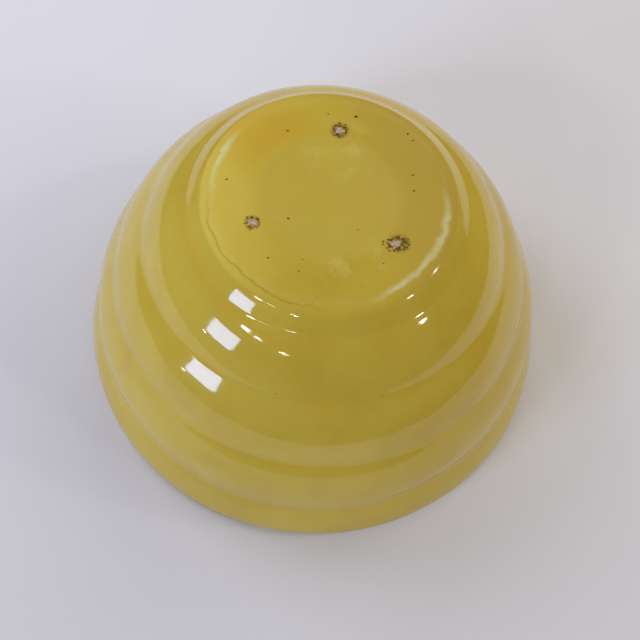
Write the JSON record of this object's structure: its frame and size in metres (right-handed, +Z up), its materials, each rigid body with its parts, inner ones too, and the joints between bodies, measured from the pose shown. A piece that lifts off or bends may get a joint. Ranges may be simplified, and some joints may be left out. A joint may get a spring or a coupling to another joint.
{
  "type": "mixing bowl",
  "caption": "Ringed earthenware mixing bowl with a yellow glaze, upside down on its rounded lip, with a flat foot marked by kiln stilt scars.",
  "frame": {"origin": "centre of the lip circle, on the plane that the lip rests on", "axes": "+Z up along the bowl's axis towards the foot, because the bowl is kept upside down; turn it 180 degrees about X to use it. -Y is the side seen from the front, between two of the three stilt scars"},
  "size_m": [0.178, 0.178, 0.096],
  "materials": {
    "clay": "matt buff earthenware, hidden under the glaze",
    "yellow_glaze": "clear glossy yellow glaze, paler where thin and amber where it pooled",
    "stilt_clay": "rough pale pink broken clay",
    "kiln_grit": "rough dark brown burnt glaze crumbs",
    "iron_speck": "glossy dark brown iron speck"
  },
  "bodies": {
    "root": {"clay_body": "clay", "outside_glaze": "yellow_glaze", "lip_glaze": "yellow_glaze", "inside_glaze": "yellow_glaze", "foot_glaze": "yellow_glaze", "stilt_pin_tips": "stilt_clay", "scar_grit": "kiln_grit", "iron_specks": "iron_speck"}
  },
  "joints": []
}
